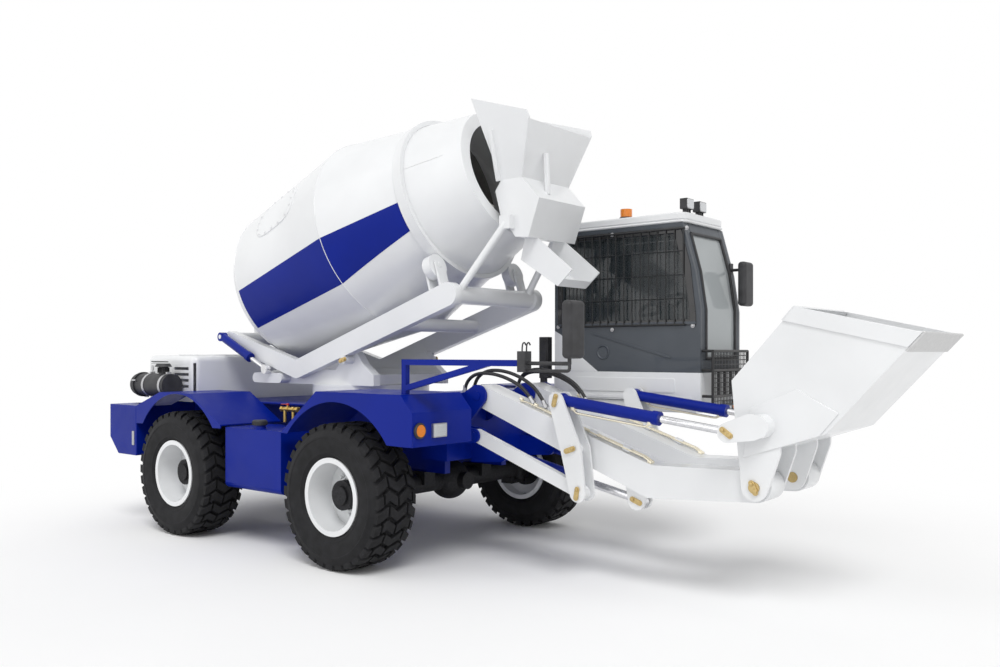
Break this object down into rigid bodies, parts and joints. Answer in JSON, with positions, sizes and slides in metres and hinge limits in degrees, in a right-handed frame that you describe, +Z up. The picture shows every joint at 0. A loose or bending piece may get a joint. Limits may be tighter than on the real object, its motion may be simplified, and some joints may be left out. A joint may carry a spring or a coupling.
{
  "type": "self-loading concrete mixer",
  "caption": "Self-loading concrete mixer truck: slewing drum with feed hopper, side cab, steered wheels and a front loader with a narrow bucket.",
  "frame": {"origin": "on the ground under the middle of the machine's length and width", "axes": "+X forward to the bucket, +Y to the machine's left, +Z up"},
  "size_m": [7.0596, 2.62, 3.5163],
  "materials": {
    "white_paint": "gloss",
    "blue_paint": "gloss",
    "black_paint": "satin",
    "slate_paint": "satin",
    "tyre_rubber": "matte",
    "clear_glass": "clear",
    "seat_vinyl": "matte",
    "black_plastic": "matte",
    "lamp_lens": "clear",
    "steel_rod": "polished",
    "pin_steel": "zinc",
    "cast_grey": "rough"
  },
  "bodies": {
    "root": {"chassis_frame": "blue_paint", "deck": "blue_paint", "nose_frame": "blue_paint", "rear_bumper": "blue_paint", "side_tanks": "blue_paint", "engine_hood": "white_paint", "engine_block": "cast_grey", "air_cleaner": "black_plastic", "front_axle": "cast_grey", "rear_axle": "cast_grey", "front_fender_right": "blue_paint", "front_fender_left": "blue_paint", "rear_fender_right": "blue_paint", "rear_fender_left": "blue_paint", "turntable_base": "white_paint", "cab_shell": "slate_paint", "cab_glass": "clear_glass", "cab_roof": "white_paint", "cab_plinth": "white_paint", "cab_seat": "seat_vinyl", "steering_column": "black_plastic", "cab_guard": "black_paint", "front_guard": "black_paint", "lamps": "lamp_lens", "handrail": "blue_paint", "mirrors": "black_plastic"},
    "knuckle_front_right": {"knuckle_front_right": "cast_grey"},
    "wheel_front_right": {"tyre_front_right": "tyre_rubber", "rim_front_right": "white_paint"},
    "knuckle_front_left": {"knuckle_front_left": "cast_grey"},
    "wheel_front_left": {"tyre_front_left": "tyre_rubber", "rim_front_left": "white_paint"},
    "knuckle_rear_right": {"knuckle_rear_right": "cast_grey"},
    "wheel_rear_right": {"tyre_rear_right": "tyre_rubber", "rim_rear_right": "white_paint"},
    "knuckle_rear_left": {"knuckle_rear_left": "cast_grey"},
    "wheel_rear_left": {"tyre_rear_left": "tyre_rubber", "rim_rear_left": "white_paint"},
    "arms": {"loader_arms": "white_paint"},
    "levers": {"arm_levers": "white_paint"},
    "links": {"lower_links": "white_paint"},
    "bucket_carrier": {"bucket_pins": "pin_steel"},
    "bucket": {"bucket": "white_paint"},
    "tilt_barrels": {"tilt_cylinder_barrels": "blue_paint"},
    "tilt_rods": {"tilt_cylinder_rods": "steel_rod"},
    "lift_barrels": {"lift_cylinder_barrels": "blue_paint"},
    "lift_rods": {"lift_cylinder_rods": "steel_rod"},
    "platform": {"slew_platform": "white_paint"},
    "cradle": {"drum_cradle": "white_paint", "drum_rollers": "white_paint", "drum_gearbox": "black_paint", "hopper": "white_paint"},
    "drum": {"drum": "white_paint"},
    "dump_barrels": {"dump_cylinder_barrels": "blue_paint"},
    "dump_rods": {"dump_cylinder_rods": "steel_rod"},
    "door": {"cab_door": "slate_paint", "door_glass": "clear_glass"}
  },
  "joints": [
    {"name": "steer_front_right", "type": "hinge", "parent": "root", "child": "knuckle_front_right", "pos_m": [-0.27979, -0.93, 0.5375], "axis": [0, 0, 1], "range_deg": [-24, 24]},
    {"name": "spin_front_right", "type": "hinge", "parent": "knuckle_front_right", "child": "wheel_front_right", "pos_m": [-0.27979, -1.11, 0.5375], "axis": [0, 1, 0], "continuous": true},
    {"name": "steer_front_left", "type": "hinge", "parent": "root", "child": "knuckle_front_left", "pos_m": [-0.27979, 0.93, 0.5375], "axis": [0, 0, 1], "range_deg": [-24, 24]},
    {"name": "spin_front_left", "type": "hinge", "parent": "knuckle_front_left", "child": "wheel_front_left", "pos_m": [-0.27979, 1.11, 0.5375], "axis": [0, 1, 0], "continuous": true},
    {"name": "steer_rear_right", "type": "hinge", "parent": "root", "child": "knuckle_rear_right", "pos_m": [-2.35979, -0.93, 0.5375], "axis": [0, 0, 1], "range_deg": [-24, 24]},
    {"name": "spin_rear_right", "type": "hinge", "parent": "knuckle_rear_right", "child": "wheel_rear_right", "pos_m": [-2.35979, -1.11, 0.5375], "axis": [0, 1, 0], "continuous": true},
    {"name": "steer_rear_left", "type": "hinge", "parent": "root", "child": "knuckle_rear_left", "pos_m": [-2.35979, 0.93, 0.5375], "axis": [0, 0, 1], "range_deg": [-24, 24]},
    {"name": "spin_rear_left", "type": "hinge", "parent": "knuckle_rear_left", "child": "wheel_rear_left", "pos_m": [-2.35979, 1.11, 0.5375], "axis": [0, 1, 0], "continuous": true},
    {"name": "lift", "type": "hinge", "parent": "root", "child": "arms", "pos_m": [0.39521, 0, 1.264], "axis": [0, -1, 0], "range_deg": [-14, 75]},
    {"name": "lever_level", "type": "hinge", "parent": "arms", "child": "levers", "pos_m": [1.32921, 0, 0.93], "axis": [0, 1, 0], "range_deg": [-14, 75]},
    {"name": "link_swing", "type": "hinge", "parent": "root", "child": "links", "pos_m": [0.45021, 0, 0.974], "axis": [0, -1, 0], "range_deg": [-14, 75]},
    {"name": "bucket_level", "type": "hinge", "parent": "arms", "child": "bucket_carrier", "pos_m": [2.58421, 0, 0.778], "axis": [0, 1, 0], "range_deg": [-14, 75]},
    {"name": "bucket_tilt", "type": "hinge", "parent": "bucket_carrier", "child": "bucket", "pos_m": [2.58421, 0, 0.778], "axis": [0, 1, 0], "range_deg": [-5, 95]},
    {"name": "tilt_barrel_swing", "type": "hinge", "parent": "levers", "child": "tilt_barrels", "pos_m": [1.20421, 0, 1.26], "axis": [0, -1, 0], "range_deg": [-14, 75]},
    {"name": "tilt_rod_slide", "type": "slide", "parent": "tilt_barrels", "child": "tilt_rods", "axis": [0.9927, 0, -0.1202], "range_m": [-0.1, 0.6]},
    {"name": "lift_barrel_swing", "type": "hinge", "parent": "root", "child": "lift_barrels", "pos_m": [0.56021, 0, 0.835], "axis": [0, -1, 0], "range_deg": [-20, 80]},
    {"name": "lift_rod_slide", "type": "slide", "parent": "lift_barrels", "child": "lift_rods", "axis": [0.9802, 0, -0.1979], "range_m": [-0.12, 0.6]},
    {"name": "slew", "type": "hinge", "parent": "root", "child": "platform", "pos_m": [-1.22979, 0, 1.31], "axis": [0, 0, -1], "range_deg": [0, 270]},
    {"name": "drum_tilt", "type": "hinge", "parent": "platform", "child": "cradle", "pos_m": [-0.97979, 0, 1.526], "axis": [0, 1, 0], "range_deg": [0, 12]},
    {"name": "drum_spin", "type": "hinge", "parent": "cradle", "child": "drum", "pos_m": [-0.92979, 0, 2.61], "axis": [0.9563, 0, 0.2924], "continuous": true},
    {"name": "dump_barrel_swing", "type": "hinge", "parent": "cradle", "child": "dump_barrels", "pos_m": [-2.63779, 0, 1.736], "axis": [0, 1, 0], "range_deg": [-5, 20]},
    {"name": "dump_rod_slide", "type": "slide", "parent": "dump_barrels", "child": "dump_rods", "axis": [0.9131, 0, -0.4078], "range_m": [-0.02, 0.2]},
    {"name": "door_swing", "type": "hinge", "parent": "root", "child": "door", "pos_m": [0.62721, 1.2943, 1.275], "axis": [0, 0, 1], "range_deg": [0, 85]}
  ],
  "couplings": [
    {"joint": "steer_front_left", "follows": "steer_front_right", "ratio": 1},
    {"joint": "steer_rear_left", "follows": "steer_rear_right", "ratio": 1},
    {"joint": "lever_level", "follows": "lift", "ratio": 1},
    {"joint": "link_swing", "follows": "lift", "ratio": 1},
    {"joint": "bucket_level", "follows": "lift", "ratio": 1},
    {"joint": "tilt_barrel_swing", "follows": "lift", "ratio": 1},
    {"joint": "tilt_rod_slide", "follows": "bucket_tilt", "m_per_rad": 0.30054},
    {"joint": "lift_barrel_swing", "follows": "lift", "ratio": 0.97845},
    {"joint": "lift_rod_slide", "follows": "lift", "m_per_rad": 0.42639},
    {"joint": "dump_barrel_swing", "follows": "drum_tilt", "ratio": 0.94757},
    {"joint": "dump_rod_slide", "follows": "drum_tilt", "m_per_rad": 0.65281}
  ]
}
